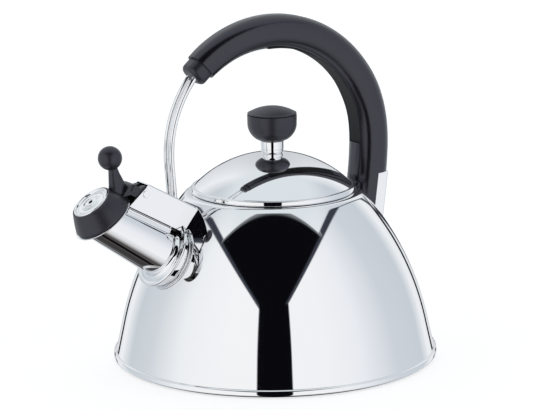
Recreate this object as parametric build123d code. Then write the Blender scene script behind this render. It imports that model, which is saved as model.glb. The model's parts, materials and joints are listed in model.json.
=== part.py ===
from build123d import *
import os
from math import asin, atan2, cos, degrees, radians, sin, sqrt

# Stovetop whistling kettle, millimetres. Origin at the centre of the base on the hob, +Z up.
# The kettle is symmetric about Y = 0: the spout points towards -X and the handle's root is at +X.

# ---- kettle body ----
SHEET = 0.9                 # steel sheet thickness
BASE_R = 110.0              # outer radius of the rolled base seam
SEAM_TOP_Z = 5.6            # top of the base seam, where the wall starts
WALL_START_R = 108.2        # outer wall radius at the seam
WALL_LEAN = radians(12.6)   # lean of the straight lower wall
WALL_JOIN_Z = 26.6          # height where the straight wall turns into the arc
WALL_ARC_R = 194.2          # radius of the upper wall's arc
WALL_TOP_Z = 112.0          # height where the shoulder starts
SEAT_Z = 113.6              # flat ring that the lid rests on
SHOULDER_R = 56.2           # outer radius of that ring
MOUTH_R = 49.4              # inner radius of the filling mouth
NECK_BOTTOM_Z = 106.0       # lower edge of the mouth's turned-down neck
LIP_ROUND = 0.7             # rounding of the mouth's lip
REACH = 40.0                # length of a cutting tool that only has to go right through

# ---- base ----
BASE_PLATE_R = 102.0        # flat plate that rests on the hob
BASE_PLATE_RIM = 1.2        # thickness of its upturned rim
BASE_FLOOR_Z = 4.6          # underside of the kettle's floor
BASE_FLOOR_T = 0.8
SEAM_WIDTH = 3.4            # radial width of the rolled base seam
SEAM_LOW_Z = 0.9
SEAM_ROUND = 1.7

# ---- lid and knob ----
LID_RIM_R = 55.3
LID_GAP = 0.1               # gap between the lid rim and its seat
LID_TOP_Z = 139.7
LID_SPHERE_R = 74.6
LID_SHEET = 0.8
LID_RIM_WIDTH = 3.1         # radial width of the lid's rolled rim
LID_RIM_ROUND = 1.25
PLUG_R = 49.0               # outer radius of the lid's locating skirt
PLUG_BOTTOM_Z = 104.5
KNOB_R = 16.7
KNOB_BOTTOM_Z = 147.9
KNOB_BULGE = (14.4, 152.6)  # (radius, z) of a point on the bowl's rounded side
KNOB_SIDE_Z = 160.0         # height where that side turns straight
KNOB_SEAM_Z = 165.9
KNOB_CAP_EDGE = 0.7         # height of the cap's straight edge above the seam
KNOB_TOP_Z = 171.2
FERRULE_R = 7.75
FERRULE_SUNK = 1.2          # how far below the lid's top the ferrule starts
STUD_R = 2.0
STUD_ENDS = (132.5, 162.0)
NUT_Z = 134.3
NUT_H = 3.2
NUT_R = 4.0
WASHER_Z = 137.5
WASHER_R = 6.0
WASHER_T = 0.9

# ---- spout ----
SPOUT_TILT = radians(32.6)  # elevation of the spout's axis
SPOUT_ROOT = (-83.8, 80.1)  # X, Z where the axis leaves the wall
SPOUT_LENGTH = 54.4
SPOUT_ROOT_R = 16.6
SPOUT_MOUTH_R = 13.8
SPOUT_INSIDE = 3.0          # length of tube that stands inside the wall
COLLAR_R = 22.6             # centre radius of the beaded collar at the root
COLLAR_BEAD_R = 1.2
COLLAR_BEAD_AT = 1.8        # where the bead lies along the spout
COLLAR_SHEET = 0.8
COLLAR_SKIRT_END = -7.0     # the skirt runs this far back, until it is cut at the wall
FLARE_END = 8.6             # where the collar's flare meets the tube
FLARE_LENGTH = 6.4
FLARE_HOLLOW = (1.5, 3.9)   # a point of the flare's curve: out from the tube's root and back from its end
BEYOND_MOUTH = 14.0         # extra length of the spout's cone, cut off at the mouth
MOUTH_TILT = radians(53.3)  # elevation of the direction in which the whistle faces
CAP_CENTRE = (-128.6, 111.2)
FLANGE_R = 20.9
FLANGE_T = 0.7
FLANGE_ROUND = 0.3

# ---- whistle cover (a folded sheet cover on top of the spout) ----
COVER_TILT = radians(29.5)
COVER_CORNER = (-73.4, 95.35)   # X, Z of its lower rear corner
COVER_HALF_W = 8.2
COVER_SHEET = 0.8
COVER_H = 18.6
COVER_LOW_L = 45.2          # length along its lower edge
COVER_TOP_REAR = -2.9       # rear end of its top edge
COVER_TOP_FRONT = 38.6      # front end of its top edge
COVER_ROUND = 1.4           # rounding of its two long folds
COVER_PLAY = 0.08           # room for it in the collar
SADDLE_DEPTH = 7.0
SADDLE_ENDS = (9.6, 45.0)   # along the cover's lower edge
PIN_AT = (37.7, 12.0)       # hinge pin: along the cover and up from its lower edge
PIN_R = 1.5
PIN_CLEARANCE = 0.06

# ---- whistle cap and lever ----
CAP_BASE_R = 19.7
CAP_TOP_R = 14.4
CAP_H = 13.2
WHISTLE_R = 13.1
WHISTLE_SEAT = 9.6          # depth of the whistle's seat above the flange
CHAMBER_R = (17.9, 11.4)    # radii of the steam chamber inside the cap, at its foot and at the seat
LEVER_HALF_W = 6.9
HUB_R = 5.0
SPRING_GAP = 2.7            # half-width of the slot for the spring
STEM_HALF_W = 2.5
BALL_AT = (-121.9, 149.3)
BALL_R = 7.9

# ---- handle ----
HANDLE_CENTRE = (-2.0, 143.2)   # X, Z of the centre of the handle's arc
HANDLE_R = 78.7
GRIP_FRONT_SIZE = (19.6, 21.2)  # thickness and width of the grip at its front end
GRIP_START = 131.1          # angle of the grip's front end on that arc, degrees
GRIP_ROUNDNESS = 0.46       # corner radius of the grip's section as a share of its thickness
LEG_ARC_R = 225.0           # gentler arc of the rear leg, below the handle's centre
WIRE_R = 1.75
WIRE_Y = 3.75
WIRE_BEND_R = 80.0
WIRE_FOOT = (-76.3, 107.0)
WIRE_BEND_START = (-78.6, 139.5)
BRACKET_HALF_W = 10.0
BRACKET_T = 1.5
BRACKET_TOP = (86.8, 118.5)
BRACKET_LOW = (81.0, 76.0)
BRACKET_DEPTH = 10.4
SCREW_HEIGHTS = (111.0, 98.0)
SCREW_R = 1.75
SCREW_HEAD_R = 3.6
SCREW_HEAD_H = 1.9
INLAY_RADII = (67.7, 70.4)  # inner and outer radius of the strip about the handle's centre
INLAY_HALF_W = 6.8
INLAY_ANGLES = (-3.0, 93.0)
CORE_HALF_T = 1.5
CORE_HALF_W = 6.0
CORE_ANGLES = (2.0, 119.0)
POCKET_PLAY = 0.15
PLUG_SIZE = (16.2, 18.4)    # thickness and width of the plug round the wires
PLUG_LENGTH = 9.4
PLUG_ROUND = 3.4


def on_side(points):
    """Closed face in the XZ plane from (x, z) points."""
    return Plane.XZ * make_face(Polyline(*points, close=True))


def revolved(outline):
    """Turn a closed (radius, z) outline about the Z axis."""
    return revolve(Plane.XZ * make_face(outline), Axis.Z)


def slab(points, half_width):
    """Extrude an (x, z) polygon to both sides of the symmetry plane."""
    return extrude(on_side(points), half_width, both=True)


def cylinder_between(radius, start, end):
    """Round bar from one point to another."""
    way = Vector(*end) - Vector(*start)
    bar = Cylinder(radius, way.length, align=(Align.CENTER, Align.CENTER, Align.MIN))
    return Plane(origin=start, z_dir=way) * bar


def crosswise_bar(radius, half_length, x, z):
    """Round bar along Y."""
    return cylinder_between(radius, (x, -half_length, z), (x, half_length, z))


# ---------------------------------------------------------------- kettle body
WALL_JOIN_R = WALL_START_R - (WALL_JOIN_Z - SEAM_TOP_Z) * sin(WALL_LEAN) / cos(WALL_LEAN)
ARC_CENTRE_R = WALL_JOIN_R - WALL_ARC_R * cos(WALL_LEAN)
ARC_CENTRE_Z = WALL_JOIN_Z - WALL_ARC_R * sin(WALL_LEAN)


def arc_point(angle, inset):
    """(radius, z) on the wall's arc, moved inwards by inset."""
    reach = WALL_ARC_R - inset
    return (ARC_CENTRE_R + reach * cos(angle), ARC_CENTRE_Z + reach * sin(angle))


def wall_line(inset):
    """Lower straight wall and upper arc, from the seam to the shoulder."""
    top_angle = asin((WALL_TOP_Z - ARC_CENTRE_Z) / WALL_ARC_R)
    foot = (WALL_START_R - inset / cos(WALL_LEAN), SEAM_TOP_Z)
    join = arc_point(WALL_LEAN, inset)
    middle = arc_point((WALL_LEAN + top_angle) / 2, inset)
    top = arc_point(top_angle, inset)
    return foot, top, Line(foot, join) + ThreePointArc(join, middle, top)


def filled_body(inset=0.0):
    """Solid block with the outer shape of the kettle's body."""
    foot, top, wall = wall_line(inset)
    shoulder = (SHOULDER_R - inset, SEAT_Z - inset)
    rise = TangentArc(top, shoulder, tangent=wall % 1)
    lid_side = Polyline(shoulder, (0, SEAT_Z - inset), (0, SEAM_TOP_Z), foot)
    return revolved(wall + rise + lid_side)


def body_shell():
    neck_h = SEAT_Z - NECK_BOTTOM_Z
    neck = Cylinder(MOUTH_R + SHEET, neck_h, align=(Align.CENTER, Align.CENTER, Align.MIN))
    mouth = Cylinder(MOUTH_R, REACH, align=(Align.CENTER, Align.CENTER, Align.MIN))
    low = Pos(0, 0, NECK_BOTTOM_Z)
    shell = filled_body() - filled_body(SHEET) + low * neck - low * mouth
    lip = shell.edges().filter_by(GeomType.CIRCLE).filter_by_position(Axis.Z, SEAT_Z - 0.01, SEAT_Z + 0.01)
    shell = fillet(lip.sort_by(SortBy.RADIUS)[0], LIP_ROUND)
    hole = spout_plane() * Cylinder(SPOUT_ROOT_R + 0.25, REACH)
    return shell - hole


def base_pan():
    inner_r = BASE_R - SEAM_WIDTH
    floor = Cylinder(inner_r + 0.4, BASE_FLOOR_T, align=(Align.CENTER, Align.CENTER, Align.MIN))
    ring = Polyline((inner_r, SEAM_LOW_Z), (BASE_R, SEAM_LOW_Z), (BASE_R, SEAM_TOP_Z), (inner_r, SEAM_TOP_Z),
                    close=True)
    seam = revolved(ring)
    outer = seam.edges().filter_by(GeomType.CIRCLE).sort_by(SortBy.RADIUS)[-2:]
    return fillet(outer, SEAM_ROUND) + Pos(0, 0, BASE_FLOOR_Z) * floor


def base_core():
    return Pos(0, 0, SHEET) * Cylinder(BASE_PLATE_R - BASE_PLATE_RIM, BASE_FLOOR_Z - SHEET,
                                       align=(Align.CENTER, Align.CENTER, Align.MIN))


def base_plate():
    cup = Cylinder(BASE_PLATE_R, BASE_FLOOR_Z, align=(Align.CENTER, Align.CENTER, Align.MIN))
    low_edge = cup.edges().filter_by(GeomType.CIRCLE).sort_by(Axis.Z)[0]
    hollow_r = BASE_PLATE_R - BASE_PLATE_RIM
    hollow = Cylinder(hollow_r, BASE_FLOOR_Z, align=(Align.CENTER, Align.CENTER, Align.MIN))
    return fillet(low_edge, 1.0) - Pos(0, 0, SHEET) * hollow


# ---------------------------------------------------------------- lid and knob
def lid_ball(inset=0.0):
    return Pos(0, 0, LID_TOP_Z - LID_SPHERE_R) * Sphere(LID_SPHERE_R - inset)


def lid_dome():
    low_z = SEAT_Z + LID_GAP
    inner_r = LID_RIM_R - LID_RIM_WIDTH
    top_z = LID_TOP_Z - LID_SPHERE_R + sqrt(LID_SPHERE_R ** 2 - (inner_r + LID_SHEET) ** 2)
    keep = Pos(0, 0, top_z) * Cylinder(inner_r + 2, REACH, align=(Align.CENTER, Align.CENTER, Align.MIN))
    cap = (lid_ball() - lid_ball(LID_SHEET)) & keep
    ring = Polyline((inner_r, low_z), (LID_RIM_R, low_z), (LID_RIM_R, top_z), (inner_r, top_z), close=True)
    rim = revolved(ring)
    rim = fillet(rim.edges().filter_by(GeomType.CIRCLE).sort_by(SortBy.RADIUS)[-2:], LID_RIM_ROUND)
    return cap + rim - Cylinder(STUD_R + 0.1, 10 * REACH)


def lid_plug():
    low_z = SEAT_Z + LID_GAP
    flange_r = LID_RIM_R - LID_RIM_WIDTH
    inner_r = PLUG_R - LID_SHEET
    outline = Polyline((inner_r, PLUG_BOTTOM_Z), (PLUG_R, PLUG_BOTTOM_Z), (PLUG_R, low_z), (flange_r, low_z),
                       (flange_r, low_z + LID_SHEET), (inner_r, low_z + LID_SHEET), close=True)
    return revolved(outline)


def knob_ferrule():
    start_z = LID_TOP_Z - FERRULE_SUNK
    tube = Cylinder(FERRULE_R, KNOB_BOTTOM_Z - start_z, align=(Align.CENTER, Align.CENTER, Align.MIN))
    tube = fillet(tube.edges().filter_by(GeomType.CIRCLE).sort_by(Axis.Z)[-1], 0.5)
    tube = Pos(0, 0, start_z) * tube - lid_ball()
    return tube - Cylinder(STUD_R + 0.1, 10 * REACH)


def knob_bowl():
    foot = (FERRULE_R + 0.3, KNOB_BOTTOM_Z)
    side = (KNOB_R - 0.1, KNOB_SIDE_Z)
    rim = (KNOB_R, KNOB_SEAM_Z)
    bulge = ThreePointArc(foot, KNOB_BULGE, side)
    outline = bulge + Polyline(side, rim, (0, KNOB_SEAM_Z), (0, KNOB_BOTTOM_Z), foot)
    depth = STUD_ENDS[1] - KNOB_BOTTOM_Z
    screw_hole = Cylinder(STUD_R + 0.05, depth, align=(Align.CENTER, Align.CENTER, Align.MIN))
    return revolved(outline) - Pos(0, 0, KNOB_BOTTOM_Z) * screw_hole


def knob_cap():
    edge_r = KNOB_R - 0.35
    rise = KNOB_TOP_Z - KNOB_SEAM_Z - KNOB_CAP_EDGE
    ball_r = (edge_r ** 2 + rise ** 2) / (2 * rise)
    disc = Pos(0, 0, KNOB_SEAM_Z) * Cylinder(edge_r, 2 * rise, align=(Align.CENTER, Align.CENTER, Align.MIN))
    return disc & Pos(0, 0, KNOB_TOP_Z - ball_r) * Sphere(ball_r)


def knob_stud():
    shank = Cylinder(STUD_R, STUD_ENDS[1] - STUD_ENDS[0], align=(Align.CENTER, Align.CENTER, Align.MIN))
    return Pos(0, 0, STUD_ENDS[0]) * shank


def knob_nut():
    blank = extrude(RegularPolygon(NUT_R, 6), NUT_H) - Cylinder(STUD_R + 0.05, REACH)
    return Pos(0, 0, NUT_Z) * blank


def knob_washer():
    ring = Cylinder(WASHER_R, WASHER_T, align=(Align.CENTER, Align.CENTER, Align.MIN))
    return Pos(0, 0, WASHER_Z) * (ring - Cylinder(STUD_R + 0.1, REACH))


# ---------------------------------------------------------------- spout
def spout_plane(s=0.0):
    """Plane across the spout's axis, s millimetres out from the wall."""
    x = SPOUT_ROOT[0] - s * cos(SPOUT_TILT)
    z = SPOUT_ROOT[1] + s * sin(SPOUT_TILT)
    return Plane(origin=(x, 0, z), x_dir=(0, 1, 0), z_dir=(-cos(SPOUT_TILT), 0, sin(SPOUT_TILT)))


def mouth_plane(out=0.0):
    """Plane of the whistle's seat, moved outwards."""
    x = CAP_CENTRE[0] - out * cos(MOUTH_TILT)
    z = CAP_CENTRE[1] + out * sin(MOUTH_TILT)
    return Plane(origin=(x, 0, z), x_dir=(0, 1, 0), z_dir=(-cos(MOUTH_TILT), 0, sin(MOUTH_TILT)))


def tapered_bar(inset):
    """Spout's cone, moved in by inset and longer than the spout at its outer end."""
    slope = (SPOUT_ROOT_R - SPOUT_MOUTH_R) / SPOUT_LENGTH
    root_r = SPOUT_ROOT_R + slope * SPOUT_INSIDE - inset
    end_r = SPOUT_MOUTH_R - slope * BEYOND_MOUTH - inset
    length = SPOUT_LENGTH + SPOUT_INSIDE + BEYOND_MOUTH
    cone = Cone(root_r, end_r, length, align=(Align.CENTER, Align.CENTER, Align.MIN))
    return spout_plane(-SPOUT_INSIDE) * cone


def beyond_mouth():
    return mouth_plane() * Box(2 * REACH, 2 * REACH, REACH, align=(Align.CENTER, Align.CENTER, Align.MIN))


def spout_tube():
    return tapered_bar(0) - tapered_bar(SHEET) - beyond_mouth()


def flare_edge(outer_r, end):
    """Hollow curve of the flare, from the tube out to the bead."""
    start = (SPOUT_ROOT_R - 0.5, end)
    middle = (SPOUT_ROOT_R + FLARE_HOLLOW[0], end - FLARE_HOLLOW[1])
    return ThreePointArc(start, middle, (outer_r, end - FLARE_LENGTH))


def spout_collar():
    outer_r = COLLAR_R - 0.4
    inner_r = outer_r - COLLAR_SHEET
    outer = flare_edge(outer_r, FLARE_END)
    inner = flare_edge(inner_r, FLARE_END - COLLAR_SHEET - 0.1)
    skirt = Polyline(outer @ 1, (outer_r, COLLAR_SKIRT_END), (inner_r, COLLAR_SKIRT_END), inner @ 1)
    flare = outer + skirt + inner + Line(inner @ 0, outer @ 0)
    bead = Pos(0, 0, COLLAR_BEAD_AT) * Torus(COLLAR_R, COLLAR_BEAD_R)
    collar = spout_plane() * (revolved(flare) + bead)
    return collar - filled_body() - tapered_bar(0) - cover_block(COVER_PLAY)


def spout_flange():
    disc = Cylinder(FLANGE_R, FLANGE_T, align=(Align.CENTER, Align.CENTER, Align.MAX))
    disc = fillet(disc.edges().filter_by(GeomType.CIRCLE).sort_by(Axis.Z)[-1], FLANGE_ROUND)
    return mouth_plane() * disc - tapered_bar(0)


# ---------------------------------------------------------------- cover on the spout
def cover_point(along, up):
    """(x, z) of a point given along the cover's lower edge and up from it."""
    x = COVER_CORNER[0] - along * cos(COVER_TILT) + up * sin(COVER_TILT)
    z = COVER_CORNER[1] + along * sin(COVER_TILT) + up * cos(COVER_TILT)
    return (x, z)


PIN_X, PIN_Z = cover_point(*PIN_AT)


def cover_block(play=0.0):
    """Outer shape of the cover, filled, with play all round."""
    corners = [(-play, -play), (COVER_LOW_L + play, -play), (COVER_TOP_FRONT + play, COVER_H + play),
               (COVER_TOP_REAR - play, COVER_H + play)]
    return slab([cover_point(*corner) for corner in corners], COVER_HALF_W + play)


def wire_holes(radius):
    return [wire_bar(side, radius) for side in (-1, 1)]


def bridge_cover():
    block = cover_block()
    along = Vector(-cos(COVER_TILT), 0, sin(COVER_TILT))
    long_edges = [edge for edge in block.edges() if abs(edge.tangent_at(0.5).dot(along)) > 0.999]
    top_edges = sorted(long_edges, key=lambda edge: edge.center().Z + edge.center().X)[-2:]
    block = fillet(top_edges, COVER_ROUND)
    room = [(-20, -5), (70, -5), (70, COVER_H - COVER_SHEET), (-20, COVER_H - COVER_SHEET)]
    inside = slab([cover_point(*corner) for corner in room], COVER_HALF_W - COVER_SHEET)
    pin_hole = crosswise_bar(PIN_R + 0.02, REACH, PIN_X, PIN_Z)
    return block - inside - pin_hole - filled_body(-0.3) - wire_holes(WIRE_R + 0.1)


def cover_saddle():
    rear, front = SADDLE_ENDS
    outer = [(rear, -SADDLE_DEPTH), (front, -SADDLE_DEPTH), (front, 0), (rear, 0)]
    block = slab([cover_point(*corner) for corner in outer], COVER_HALF_W)
    inner = [(0, -9), (60, -9), (60, -SHEET), (0, -SHEET)]
    inside = slab([cover_point(*corner) for corner in inner], COVER_HALF_W - COVER_SHEET)
    return block - inside - tapered_bar(0)


def wire_anchor():
    corners = [(1.2, 0.1), (25.0, 0.1), (25.0, COVER_H - 0.9), (-1.8, COVER_H - 0.9)]
    block = slab([cover_point(*corner) for corner in corners], COVER_HALF_W - COVER_SHEET - 0.1)
    return block - filled_body(-0.4) - wire_holes(WIRE_R + 0.05)


def hinge_pin():
    reach = COVER_HALF_W + 0.55
    head = crosswise_bar(2.1, reach, PIN_X, PIN_Z) - crosswise_bar(5, COVER_HALF_W, PIN_X, PIN_Z)
    return crosswise_bar(PIN_R, reach, PIN_X, PIN_Z) + head


def lever_spring():
    turns = 4
    pitch = 1.05
    coil_r = 2.7
    path = Helix(pitch, pitch * turns, coil_r)
    coil = sweep(Plane(origin=path @ 0, z_dir=path % 0) * Circle(0.38), path)
    start = Plane(origin=(PIN_X, -pitch * turns / 2, PIN_Z), x_dir=(1, 0, 0), z_dir=(0, 1, 0))
    return start * coil


# ---------------------------------------------------------------- whistle cap and lever
def cap_block():
    """Outer shape of the cap, filled."""
    foot = (CAP_BASE_R, 0.12)
    skirt = (CAP_BASE_R + 0.1, 1.2)
    top = (CAP_TOP_R, CAP_H - 0.6)
    crown = (CAP_TOP_R - 0.5, CAP_H)
    side = ThreePointArc(skirt, (CAP_TOP_R + 3.0, CAP_H * 0.52), top)
    outline = Line(foot, skirt) + side + Polyline(top, crown, (0, CAP_H), (0, 0.12), foot)
    return mouth_plane() * revolved(outline)


def cap_shell():
    seat = Cylinder(WHISTLE_R + 0.1, REACH, align=(Align.CENTER, Align.CENTER, Align.MIN))
    chamber = Cone(*CHAMBER_R, WHISTLE_SEAT + 0.1, align=(Align.CENTER, Align.CENTER, Align.MIN))
    return cap_block() - mouth_plane(WHISTLE_SEAT) * seat - mouth_plane() * chamber


def cap_seal():
    ring = Polyline((14.9, 0.12), (17.2, 0.12), (16.7, 1.4), (15.4, 1.4), close=True)
    return mouth_plane() * revolved(ring)


def whistle_rear_disc():
    dish = Polyline((1.4, 8.9), (6.0, 8.9), (8.2, 9.7), (WHISTLE_R, 9.7), (WHISTLE_R, 10.3), (7.9, 10.3),
                    (5.8, 9.5), (1.4, 9.5), close=True)
    return mouth_plane() * revolved(dish)


def whistle_front_disc():
    rim_r = WHISTLE_R
    rim = [(rim_r, 10.3), (rim_r, 13.4), (rim_r - 0.7, 14.1), (rim_r - 1.7, 14.1), (rim_r - 2.4, 13.2)]
    face = [(rim_r - 4.4, 12.7), (3.2, 13.3), (2.0, 12.6), (1.5, 12.6)]
    back = [(1.5, 12.0), (2.3, 12.0), (3.3, 12.6), (rim_r - 4.4, 12.0), (rim_r - 2.1, 12.5)]
    rim_back = [(rim_r - 1.3, 13.4), (rim_r - 0.9, 13.4), (rim_r - 0.7, 13.1), (rim_r - 0.7, 10.3)]
    return mouth_plane() * revolved(Polyline(*rim, *face, *back, *rim_back, close=True))


def lever_point(along, up):
    """(x, z) of a point given from the hinge pin, along and up from the cover's edge."""
    return cover_point(PIN_AT[0] + along, PIN_AT[1] + up)


def whistle_lever():
    arm = [(0, -HUB_R), (9.4, -4.6), (14.2, -8.0), (13.6, -1.7), (12.6, 1.2), (9.6, 2.6), (4.5, 1.6),
           (0, 1.6)]
    block = slab([lever_point(*corner) for corner in arm], LEVER_HALF_W)
    hub = crosswise_bar(HUB_R, LEVER_HALF_W, PIN_X, PIN_Z)
    spring_slot = crosswise_bar(HUB_R + 0.8, SPRING_GAP, PIN_X, PIN_Z)
    stem = [(-121.9, 146), (-118.9, 146), (-112.1, 128.4), (-112.3, 125.2), (-116, 122),
            (-122.3, 126.5)]
    post = slab(stem, STEM_HALF_W)
    outline = post.edges().filter_by(Axis.Y, reverse=True)
    post = fillet(outline.filter_by(lambda edge: edge.center().Z > 124), 0.7)
    ball = Pos(BALL_AT[0], 0, BALL_AT[1]) * Sphere(BALL_R)
    bore = crosswise_bar(PIN_R + PIN_CLEARANCE, REACH, PIN_X, PIN_Z)
    lever = block + hub - spring_slot + post + ball + cheek_pads()
    return lever - bore - cap_block()


def cheek_pads():
    """Raised pad on each cheek of the lever, one bar from side to side."""
    x, z = lever_point(8.4, -0.4)
    middle = Plane(origin=(x, 0, z), x_dir=(-cos(COVER_TILT), 0, sin(COVER_TILT)), z_dir=(0, 1, 0))
    return middle * Box(4.2, 4.6, 2 * LEVER_HALF_W + 1.2)


# ---------------------------------------------------------------- handle
def ring_point(angle, radius=HANDLE_R):
    """(x, z) on the handle's arc."""
    turn = radians(angle)
    return (HANDLE_CENTRE[0] + radius * cos(turn), HANDLE_CENTRE[1] + radius * sin(turn))


def leg_point(drop):
    """(x, z) on the rear leg, drop millimetres below the handle's centre."""
    centre_x = HANDLE_CENTRE[0] + HANDLE_R - LEG_ARC_R
    turn = -asin(drop / LEG_ARC_R)
    return (centre_x + LEG_ARC_R * cos(turn), HANDLE_CENTRE[1] - drop), degrees(turn)


def grip_section(x, z, angle, thick, wide):
    """Rounded section across the handle: thick in the plane of the arc, wide along Y."""
    turn = radians(angle)
    across = Plane(origin=(x, 0, z), x_dir=(cos(turn), 0, sin(turn)), z_dir=(sin(turn), 0, -cos(turn)))
    return across * RectangleRounded(thick, wide, thick * GRIP_ROUNDNESS)


def grip_size(angle):
    """Thickness and width of the grip: slimmer towards its front end."""
    share = (GRIP_START - max(angle, 0.0)) / GRIP_START
    swell = 1 - (1 - share) ** 2
    return GRIP_FRONT_SIZE[0] + 5.0 * swell, GRIP_FRONT_SIZE[1] + 5.6 * swell


def grip_sections():
    sections = []
    steps = 9
    for step in range(steps):
        angle = GRIP_START * (1 - step / (steps - 1))
        sections.append(grip_section(*ring_point(angle), angle, *grip_size(angle)))
    for drop in (16.0, 32.0, 48.0, 66.0):
        (x, z), angle = leg_point(drop)
        sections.append(grip_section(x, z, angle, *grip_size(0.0)))
    return sections


def ring_band(inner_r, outer_r, half_width, start, end):
    """Rectangular band round the handle's centre, from one angle to another."""
    outline = Polyline((inner_r, -half_width), (outer_r, -half_width), (outer_r, half_width),
                       (inner_r, half_width), close=True)
    turn = radians(start)
    centre = (HANDLE_CENTRE[0], 0, HANDLE_CENTRE[1])
    hub = Plane(origin=centre, x_dir=(cos(turn), 0, sin(turn)), z_dir=(sin(turn), 0, -cos(turn)))
    face = hub * make_face(outline)
    spin = Axis(centre, (0, -1, 0))
    return revolve(face, spin, end - start)


def handle_core():
    return ring_band(HANDLE_R - CORE_HALF_T, HANDLE_R + CORE_HALF_T, CORE_HALF_W, *CORE_ANGLES)


def grip_inlay():
    return ring_band(*INLAY_RADII, INLAY_HALF_W, *INLAY_ANGLES)


def bracket_frame(offset, z):
    """x of a line parallel to the bracket's back, offset towards the spout, at height z."""
    lean = (BRACKET_TOP[0] - BRACKET_LOW[0]) / (BRACKET_TOP[1] - BRACKET_LOW[1])
    return BRACKET_LOW[0] + (z - BRACKET_LOW[1]) * lean - offset


def bracket_slab(near, far, half_width, top_z, low_z=70.0):
    """Leaning slab between two offsets from the bracket's back."""
    corners = [(bracket_frame(near, low_z), low_z), (bracket_frame(near, top_z), top_z),
               (bracket_frame(far, top_z), top_z), (bracket_frame(far, low_z), low_z)]
    return slab(corners, half_width)


def screw_point(z, out):
    """Point on a screw's axis: z is where the axis leaves the bracket's back, out is along the axis."""
    lean = atan2(BRACKET_TOP[0] - BRACKET_LOW[0], BRACKET_TOP[1] - BRACKET_LOW[1])
    return (bracket_frame(0, z) + out * cos(lean), 0, z - out * sin(lean))


def screw_bar(radius, z, start, end):
    return cylinder_between(radius, screw_point(z, start), screw_point(z, end))


def rear_bracket():
    top_z = BRACKET_TOP[1]
    block = bracket_slab(0, BRACKET_DEPTH, BRACKET_HALF_W, top_z)
    back_edges = block.edges().filter_by(lambda e: abs(e.tangent_at(0.5).Z) > 0.9).sort_by(Axis.X)[-2:]
    block = fillet(back_edges, 1.2)
    channel = bracket_slab(BRACKET_T, BRACKET_DEPTH + 5, BRACKET_HALF_W - BRACKET_T, top_z + 1, 60.0)
    bracket = block - channel - filled_body()
    for z in SCREW_HEIGHTS:
        bracket -= screw_bar(SCREW_R + 0.15, z, -8, 8)
    return bracket


def bracket_screws():
    screws = []
    for z in SCREW_HEIGHTS:
        shank = screw_bar(SCREW_R, z, -9, 0.1)
        head = screw_bar(SCREW_HEAD_R, z, 0.1, 0.1 + SCREW_HEAD_H)
        head = fillet(head.edges().filter_by(GeomType.CIRCLE).sort_by(Axis.X)[-1], 1.0)
        outwards = Vector(*screw_point(z, 1)) - screw_point(z, 0)
        face = Plane(origin=screw_point(z, 0.1 + SCREW_HEAD_H), x_dir=(0, 1, 0), z_dir=outwards)
        cross = face * (Box(4.0, 0.9, 1.6) + Box(0.9, 4.0, 1.6))
        screws.append(shank + head - cross)
    return screws


def handle_grip():
    grip = loft(grip_sections())
    rear_cut = bracket_slab(-12, BRACKET_DEPTH + 0.1, 30, BRACKET_TOP[1] + 0.1)
    skin = BRACKET_T + POCKET_PLAY
    tongue = bracket_slab(skin, BRACKET_DEPTH + 0.1, BRACKET_HALF_W - skin, BRACKET_TOP[1] + 0.1)
    pocket = ring_band(INLAY_RADII[0] - 10, INLAY_RADII[1] + 0.1, INLAY_HALF_W + POCKET_PLAY,
                       INLAY_ANGLES[0] - 0.2, INLAY_ANGLES[1] + 0.2)
    core_slot = ring_band(HANDLE_R - CORE_HALF_T - 0.1, HANDLE_R + CORE_HALF_T + 0.1, CORE_HALF_W + 0.1,
                          CORE_ANGLES[0] - 0.2, CORE_ANGLES[1] + 0.2)
    grip = grip - (rear_cut - tongue) - pocket - core_slot - filled_body(-0.4)
    for z in SCREW_HEIGHTS:
        grip -= screw_bar(SCREW_R + 0.05, z, -9.2, 4)
    return grip - wire_holes(WIRE_R + 0.05)


def collar_plane():
    x, z = ring_point(GRIP_START)
    turn = radians(GRIP_START)
    return Plane(origin=(x, 0, z), x_dir=(cos(turn), 0, sin(turn)), z_dir=(-sin(turn), 0, cos(turn)))


def wire_collar():
    body = extrude(RectangleRounded(*PLUG_SIZE, PLUG_SIZE[0] * 0.43), PLUG_LENGTH)
    nose = body.edges().group_by(Axis.Z)[-1]
    plug = collar_plane() * fillet(nose, PLUG_ROUND)
    return plug - wire_holes(WIRE_R + 0.05)


def wire_bar(side, radius):
    """One handle wire: straight foot in the anchor, then one long bend into the grip."""
    y = side * WIRE_Y
    foot = (WIRE_FOOT[0], y, WIRE_FOOT[1])
    bend = (WIRE_BEND_START[0], y, WIRE_BEND_START[1])
    way = (Vector(*bend) - Vector(*foot)).normalized()
    inward = Vector(way.Z, 0, -way.X)
    centre = Vector(*bend) + inward * WIRE_BEND_R
    swept = 60.0
    far = bend_point(centre, inward, way, swept)
    half = bend_point(centre, inward, way, swept / 2)
    path = Line(foot, bend) + ThreePointArc(bend, half, far)
    return sweep(Plane(origin=foot, z_dir=way) * Circle(radius), path)


def bend_point(centre, inward, way, angle):
    turn = radians(angle)
    return centre - inward * (WIRE_BEND_R * cos(turn)) + way * (WIRE_BEND_R * sin(turn))


def handle_wire_left():
    return wire_bar(-1, WIRE_R)


def handle_wire_right():
    return wire_bar(1, WIRE_R)


PARTS = [
    body_shell, base_pan, base_core, base_plate,
    spout_tube, spout_collar, spout_flange, cover_saddle, bridge_cover, wire_anchor, hinge_pin, lever_spring,
    handle_wire_left, handle_wire_right, wire_collar, handle_grip, grip_inlay, handle_core, rear_bracket,
    bracket_screws,
    lid_dome, lid_plug, knob_ferrule, knob_bowl, knob_cap, knob_stud, knob_nut, knob_washer,
    cap_shell, cap_seal, whistle_rear_disc, whistle_front_disc, whistle_lever,
]

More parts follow.
